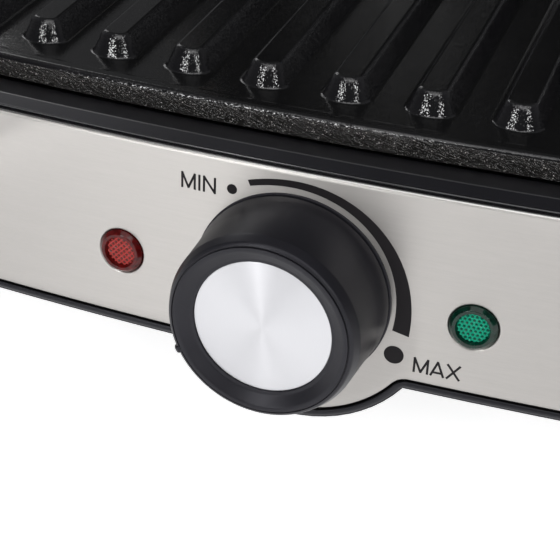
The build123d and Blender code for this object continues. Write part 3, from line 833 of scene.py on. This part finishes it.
def word(text, left, base, height, right, stroke):
    """Strokes of a short word between two ends."""
    widths = [LETTERS[c][0] * height for c in text]
    gap = (right - left - sum(widths) - stroke) / (len(text) - 1)
    x, low, tall = left + stroke / 2, base + stroke / 2, height - stroke
    shapes = []
    for c, width in zip(text, widths):
        for line in LETTERS[c][1]:
            points = [Vector((x + px * height, low + py * tall)) for px, py in line]
            for start, end in zip(points, points[1:]):
                shapes.append(strip(start, end, stroke))
        x += width + gap
    return shapes


def dot(angle, radius, size):
    """Round mark of a size in radius, at a clock angle from the top."""
    cx, cy = radius * sin(angle), radius * cos(angle)
    return [(cx + size * cos(a), cy + size * sin(a)) for a in around(36)]


# Clockwise degrees from the top, with the arc's inner and outer radius there
SCALE_STATIONS = [(-24.4, 24.5, 25.9), (0, 23.8, 25.4), (55, 23.6, 26.15), (85, 23.35, 26.6),
                  (102.6, 23.5, 27.3)]


def swelling_arc():
    """The scale's arc, on smooth curves through its stations: it widens from near MIN to near MAX."""
    inner, outer = [], []
    for angle in spread(SCALE_STATIONS[0][0], SCALE_STATIONS[-1][0], 60):
        near, far = 0.0, 0.0
        for at, inner_radius, outer_radius in SCALE_STATIONS:
            weight = 1.0
            for other, _, _ in SCALE_STATIONS:
                if other != at:
                    weight *= (angle - other) / (at - other)
            near += weight * inner_radius
            far += weight * outer_radius
        a = radians(angle)
        inner.append((near * sin(a), near * cos(a)))
        outer.append((far * sin(a), far * cos(a)))
    return inner + outer[::-1]


def make_scale():
    """The printed arc, its two dots and its two words."""
    shapes = [swelling_arc(), dot(radians(-34.5), 25.1, 1.15), dot(radians(115), 26.2, 2.2)]
    shapes += word("MIN", -26.0, 18.6, 3.95, -17.9, 0.5)
    shapes += word("MAX", 28.15, -14.4, 3.95, 38.5, 0.5)
    ink = plastic("ink_black", (0.012, 0.0105, 0.012), (0.6, 0.7), 5000, 0.000002, Specular_IOR_Level=0.15)
    pieces = [make_object("scale_print", *ink_prism(shape), sharp=40) for shape in shapes]
    dress(join(*pieces), ink, "base", "knob_plastic")


# ---- Lamps ---------------------------------------------------------------------------------

PATTERN_R = 3.4  # patterned middle of a lens


def lamp_cap(name, facet, here, ring_mat, body_mat):
    """Lens: dark outer ring, a small step and a patterned inner disc."""
    profile = [(3.2, -7.5), (LENS_R - 1.2, -7.5), (LENS_R - 1.2, -3), (LENS_R, -3), (LENS_R, 0.1, 0.3),
               (LENS_R - 0.75, LENS_RISE, 0.35), (3.75, LENS_RISE, 0.12), (PATTERN_R, 0.15), (3.2, -1.6)]
    cap = lathe(f"{name}_lens_cap", rounded(profile, 0.1, 6), here, 96, closed=True, sharp=40)
    inner = make_object(f"{name}_lens_pattern", *pattern_disc(facet), here, 25, baked=False)
    dress(cap, ring_mat, "base", f"{name}_lens", f"{name}_lens")
    dress(inner, body_mat, "base", f"{name}_lens")


def pattern_disc(facet):
    """Points and faces of a disc with a flat back. Its front is a square grid spread to a circle,
    raised by facet(x, y)."""
    steps, back = 48, -1.5
    verts, faces = [], []
    for i in range(steps + 1):
        for j in range(steps + 1):
            u, v = 2 * i / steps - 1, 2 * j / steps - 1
            x = u * sqrt(1 - v * v / 2) * PATTERN_R
            y = v * sqrt(1 - u * u / 2) * PATTERN_R
            verts.append((x * MM, y * MM, facet(x, y) * MM))
    for i in range(steps):
        for j in range(steps):
            a = i * (steps + 1) + j
            faces.append((a, a + steps + 1, a + steps + 2, a + 1))
    rim = [i * (steps + 1) for i in range(steps + 1)]
    rim += [steps * (steps + 1) + j for j in range(1, steps + 1)]
    rim += [i * (steps + 1) + steps for i in range(steps - 1, -1, -1)]
    rim += range(steps - 1, 0, -1)
    start = len(verts)
    for k in rim:
        verts.append((verts[k][0], verts[k][1], back * MM))
    for k in range(len(rim)):
        n = (k + 1) % len(rim)
        faces.append((rim[k], rim[n], start + n, start + k))
    faces.append(tuple(range(start, start + len(rim))))
    return verts, faces


def crossed_ridges(x, y):
    """Height of the red lens's pattern: two sets of slanting ridges."""
    pitch = 0.95
    u, v = (x + y) / sqrt(2), (x - y) / sqrt(2)
    ridge = max(abs(cos(pi * u / pitch)), abs(cos(pi * v / pitch)))
    return -0.15 + 0.3 * ridge**3


def staggered_dimples(x, y):
    """Height of the green lens's pattern: round dimples 1 mm apart, every other row shifted."""
    row_pitch, dimple_r = 0.87, 0.42
    row = round(y / row_pitch)
    shift = 0.5 * (row % 2)
    column = round(x - shift)
    gap = sqrt((x - column - shift) ** 2 + (y - row * row_pitch) ** 2)
    return 0.12 - 0.35 * max(0.0, 1 - (gap / dimple_r) ** 2)


def make_lamps():
    red_ring = lens_plastic("lens_red_ring", (0.045, 0.002, 0.002), (0.10, 0.004, 0.004), 0.3)
    green_ring = lens_plastic("lens_green_ring", (0.0008, 0.010, 0.006), (0.001, 0.025, 0.015), 0.4)
    lamp_cap("red", crossed_ridges, panel_frame(RED_X, LENS_Z), red_ring, materials["red_lens"])
    lamp_cap("green", staggered_dimples, panel_frame(GREEN_X, LENS_Z), green_ring, materials["green_lens"])


# ---- Lid and handle ------------------------------------------------------------------------

def make_lid():
    """Skirt of the lid and its crowned steel cover, drawn closed and set open."""
    skirt = [(3.6, 94.5), (3.6, LID_SEAM, 0.1), (1.2, LID_SEAM, 0.3), (0.0, LID_LOW + 0.8, 0.5),
             (0.4, LID_LOW, 0.4), (4.6, LID_LOW, 0.4), (5.4, LID_LOW + 1.0)]
    loops = [level(i, z, LID) for i, z in rounded(skirt, 0.2, 4)]
    loops += [level(-1.3, z, PLATE) for z in (94.0, 94.5)]
    verts, faces = skin(loops, closed=True)
    dress(make_object("lid_skirt", verts, faces, LID_OPEN, sharp=45), materials["black_housing"],
          "lid", "black_housing", "lid_frame")
    crown = [(1.35, LID_SEAM + 0.4), (1.2, LID_SEAM + 1.0, 0.5), (2.4, 120.6, 3.0), (8.5, 124.4, 6.0),
             (28.0, 125.6, 30.0), (70.0, 125.95)]
    lining = [(70.0, 124.7), (28.0, 124.4, 30), (9.0, 123.2, 6.0), (3.6, 119.9, 3.0), (2.5, LID_SEAM + 0.4)]
    outside = [level(i, z, LID) for i, z in rounded(crown, 0.5, 8)]
    inside = [level(i, z, LID) for i, z in rounded(lining, 0.5, 8)]
    count = len(outside[0])
    last_outside = (len(outside) - 1) * count
    last_inside = (len(outside) + len(inside) - 1) * count
    verts, faces = skin(outside + inside, capped=False)
    faces = [f for f in faces if f[0] // count != len(outside) - 1]
    faces.append(tuple(last_outside + j for j in range(count)))
    faces.append(tuple(last_outside + count + j for j in range(count))[::-1])
    for j in range(count):
        k = (j + 1) % count
        faces.append((j, last_inside + j, last_inside + k, k))
    dress(make_object("lid_crown", verts, faces, LID_OPEN, sharp=40), materials["brushed_panel"],
          "lid", "brushed_panel", "lid_cover")


def grip_section(x, share):
    """The handle's oval section, at a share of its full size."""
    y, z = HANDLE
    return [(x, y + GRIP_Y * share * cos(a), z + GRIP_Z * share * sin(a)) for a in around(64)]


def make_handle():
    """Bar handle: a swelling oval grip with a bright band near each end."""
    ends = rounded([(ARM_IN - 0.4, 0.60), (ARM_IN - 0.4, 0.84, 0.08), (ARM_IN - 4, 0.86, 1.5), (120, 0.9, 30),
                    (60, 1.0, 30), (0, 1.0)], 0.1, 6)
    stations = ends + [(-x, share) for x, share in ends[::-1][1:]]
    verts, faces = skin([grip_section(x, share) for x, share in stations])
    dress(make_object("handle_bar", verts, faces, ARMS_OPEN, sharp=40), materials["grip_plastic"],
          "arms", "grip_plastic", "handle_grip")
    band = rounded([(142.0, 0.80), (142.0, 0.915, 0.03), (146.0, 0.93, 0.5), (149.5, 0.93, 0.03),
                    (149.5, 0.80)], 0.03, 4)
    for name, side in (("left", -1), ("right", 1)):
        verts, faces = skin([grip_section(side * x, share) for x, share in band], closed=True)
        dress(make_object(f"grip_band_{name}", verts, faces, ARMS_OPEN, sharp=30), materials["nickel_plate"],
              "arms", "nickel_plate")


# ---- CAD pieces that stay ------------------------------------------------------------------

def finish_cad_pieces():
    """Each carried-over piece gets its slot's material; moulded and pressed ones get soft edges."""
    slots = {part["node"]: part["material_slot"] for part in frame["record"]["subparts"]}
    softened = {"base_shell": 0.35, "bottom_cover": 0.3, "drip_tray": 0.3, "left_hinge_tower": 0.8,
                "right_hinge_tower": 0.8, "left_arm": 0.4, "right_arm": 0.4, "hinge_pins": 0.5,
                "pivot_pins": 0.5, "handle_bolts": 0.4, "rubber_feet": 0.4, "inlet_gland": 0.4,
                "pivot_spacers": 0.3}
    for name, obj in frame["nodes"].items():
        obj.data.materials.clear()
        obj.data.materials.append(materials[slots[name]])
        if name in softened:
            weld = obj.modifiers.new("weld", "WELD")
            weld.merge_threshold = 0.00001
            bevel = obj.modifiers.new("soft_edges", "BEVEL")
            bevel.width = softened[name] * MM
            bevel.segments = 3
            bevel.limit_method = "ANGLE"
            bevel.angle_limit = radians(35)
            bevel.harden_normals = True


# ---- Studio --------------------------------------------------------------------------------

def softbox(name, azimuth, elevation, distance, width, height, radiance):
    """Rectangular light facing the press, placed by azimuth from the front towards +X."""
    light = bpy.data.lights.new(name, "AREA")
    light.shape = "RECTANGLE"
    light.size, light.size_y = width, height
    light.energy = radiance * pi * width * height
    obj = bpy.data.objects.new(name, light)
    bpy.context.scene.collection.objects.link(obj)
    a, e = radians(azimuth), radians(elevation)
    way = Vector((sin(a) * cos(e), -cos(a) * cos(e), sin(e)))
    target = Vector((0.0, -0.14, 0.06))
    obj.location = target + way * distance
    obj.rotation_euler = way.to_track_quat("Z", "Y").to_euler()


def make_world():
    """Dim in front, lighter behind and above, as a studio with its lamps off there."""
    world = bpy.data.worlds.new("studio")
    bpy.context.scene.world = world
    world.use_nodes = True
    nodes, links = world.node_tree.nodes, world.node_tree.links
    place = nodes.new("ShaderNodeTexCoord")
    split = nodes.new("ShaderNodeSeparateXYZ")
    links.new(place.outputs["Generated"], split.inputs[0])
    spread_node = nodes.new("ShaderNodeMapRange")
    spread_node.interpolation_type = "SMOOTHSTEP"
    spread_node.inputs["From Min"].default_value = -0.55
    spread_node.inputs["From Max"].default_value = 0.25
    spread_node.inputs["To Min"].default_value = 0.05
    spread_node.inputs["To Max"].default_value = 0.17
    links.new(split.outputs["Y"], spread_node.inputs["Value"])
    shader = nodes["Background"]
    shader.inputs["Color"].default_value = (0.96, 0.97, 1.0, 1)
    links.new(spread_node.outputs["Result"], shader.inputs["Strength"])


def make_floor():
    """Pale, evenly lit table."""
    mesh = bpy.data.meshes.new("table")
    size = 6.0
    corners = [(-size, -size, 0), (size, -size, 0), (size, size, 0), (-size, size, 0)]
    mesh.from_pydata(corners, [], [(0, 1, 2, 3)])
    floor = bpy.data.objects.new("table", mesh)
    bpy.context.scene.collection.objects.link(floor)
    s = Shader("table_white", Roughness=0.6, Specular_IOR_Level=0.2)
    cloud = s.noise(s.stretched((3, 3, 3)), detail=2)
    s.colour(s.ramp(cloud, (0.3, 0.80), (0.7, 0.84)))
    s.main.inputs["Emission Color"].default_value = (1, 1, 1, 1)
    s.main.inputs["Emission Strength"].default_value = 0.82
    floor.data.materials.append(s.material)


def make_camera():
    """Close view of the front, from the right and above. Its axes and its distance from the
    foot of the knob's axis are in the frame's own directions, in metres."""
    lens = bpy.data.cameras.new("camera")
    lens.lens, lens.sensor_width = 87.7, 36.0
    lens.clip_start = 0.01
    camera = bpy.data.objects.new("camera", lens)
    bpy.context.scene.collection.objects.link(camera)
    axis_point = TO_FRAME @ Vector((0, BASE["front"], KNOB_Z))
    back = Vector((0.28689, -0.76909, 0.57114))
    right = Vector((0.93612, 0.35166, 0.00331))
    up = back.cross(right)
    turn = Matrix((right, up, back)).transposed().to_4x4()
    away = Vector((0.08154, -0.22558, 0.16897))
    camera.matrix_world = Matrix.Translation(axis_point + away) @ turn
    bpy.context.scene.camera = camera


make_camera()
make_world()
make_floor()
softbox("strip_left", -23, 26, 1.1, 0.11, 0.6, 16.0)
softbox("strip_right", 37, 26, 1.2, 0.10, 0.6, 15.0)
softbox("front_top", 12, 52, 1.3, 1.1, 0.5, 1.9)
softbox("top", 0, 70, 1.4, 1.2, 0.8, 1.3)
softbox("left_back", -134, 33, 3.0, 1.0, 1.0, 2.4)
bpy.context.scene.view_settings.view_transform = "Standard"

finish_cad_pieces()
make_front_panel()
make_lip()
make_bezel()
make_plates()
make_knob()
make_scale()
make_lamps()
make_lid()
make_handle()
